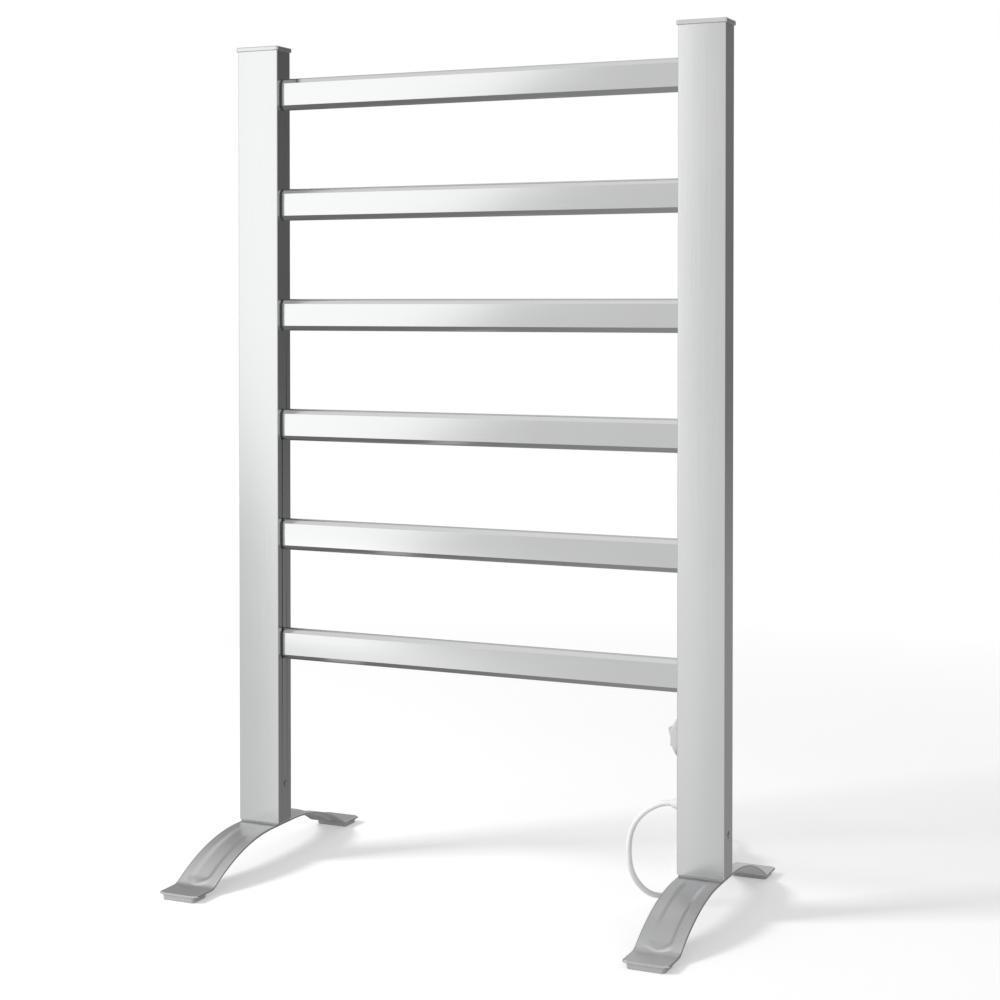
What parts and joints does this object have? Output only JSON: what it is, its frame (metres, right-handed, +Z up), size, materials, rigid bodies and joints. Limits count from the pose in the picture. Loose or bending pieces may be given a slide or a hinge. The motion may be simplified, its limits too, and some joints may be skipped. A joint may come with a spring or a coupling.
{
  "type": "towel warmer rack",
  "caption": "Free-standing electric towel warmer: two flat posts on arched feet joined by heated rungs, with a rocker switch and a mains cord.",
  "frame": {"origin": "on the floor, under the middle of the rack, midway between the posts and between the front and rear toes", "axes": "+X along the rungs towards the post with the switch, +Y towards the back, +Z up"},
  "size_m": [0.54, 0.4303, 0.86],
  "materials": {
    "post_aluminium": "satin anodised",
    "rung_aluminium": "bright satin anodised",
    "cap_plastic": "satin",
    "fitting_plastic": "matt",
    "foot_metal": "silver powder coat",
    "gasket_rubber": "matt",
    "bracket_steel": "zinc plated",
    "screw_steel": "zinc plated",
    "pad_plastic": "frosted",
    "bezel_plastic": "satin",
    "rocker_plastic": "satin",
    "switch_plastic": "matt",
    "pin_steel": "ground",
    "terminal_brass": "bright",
    "gland_plastic": "satin",
    "cord_pvc": "satin",
    "tie_plastic": "matt",
    "plug_plastic": "satin",
    "plug_metal": "nickel plated",
    "wire_silicone": "matt",
    "block_plastic": "matt"
  },
  "bodies": {
    "rack": {"left_post": "post_aluminium", "right_post": "post_aluminium", "rung_1": "rung_aluminium", "rung_2": "rung_aluminium", "rung_3": "rung_aluminium", "rung_4": "rung_aluminium", "rung_5": "rung_aluminium", "rung_6": "rung_aluminium", "left_rung_fittings": "fitting_plastic", "right_rung_fittings": "fitting_plastic", "left_fitting_clips": "bracket_steel", "right_fitting_clips": "bracket_steel", "left_foot_bracket": "bracket_steel", "right_foot_bracket": "bracket_steel", "left_cap": "cap_plastic", "right_cap": "cap_plastic", "left_foot": "foot_metal", "right_foot": "foot_metal", "left_foot_gasket": "gasket_rubber", "right_foot_gasket": "gasket_rubber", "left_foot_bolts": "screw_steel", "right_foot_bolts": "screw_steel", "left_side_screws": "screw_steel", "right_side_screws": "screw_steel", "earth_screw": "screw_steel", "left_front_pad": "pad_plastic", "left_rear_pad": "pad_plastic", "right_front_pad": "pad_plastic", "right_rear_pad": "pad_plastic", "switch_bezel": "bezel_plastic", "switch_body": "switch_plastic", "rocker_pin": "pin_steel", "switch_terminals": "terminal_brass", "cable_gland": "gland_plastic", "gland_nut": "gland_plastic", "inner_cord": "cord_pvc", "cord": "cord_pvc", "cord_hank": "cord_pvc", "cord_tail": "cord_pvc", "cord_cores": "cord_pvc", "hank_tie": "tie_plastic", "plug_body": "plug_plastic", "plug_strain_relief": "plug_plastic", "plug_pins": "plug_metal", "heating_wire_1": "wire_silicone", "heating_wire_2": "wire_silicone", "heating_wire_3": "wire_silicone", "heating_wire_4": "wire_silicone", "heating_wire_5": "wire_silicone", "heating_wire_6": "wire_silicone", "left_wire_links": "wire_silicone", "right_wire_links": "wire_silicone", "supply_lead": "wire_silicone", "switch_lead": "wire_silicone", "live_lead": "wire_silicone", "return_lead": "wire_silicone", "earth_lead": "wire_silicone", "terminal_block": "block_plastic", "thermal_cutout": "block_plastic"},
    "rocker": {"switch_rocker": "rocker_plastic"}
  },
  "joints": [
    {"name": "power_rocker", "type": "hinge", "parent": "rack", "child": "rocker", "pos_m": [0.216, 0, 0.173], "axis": [0, 1, 0], "range_deg": [0, 14]}
  ]
}
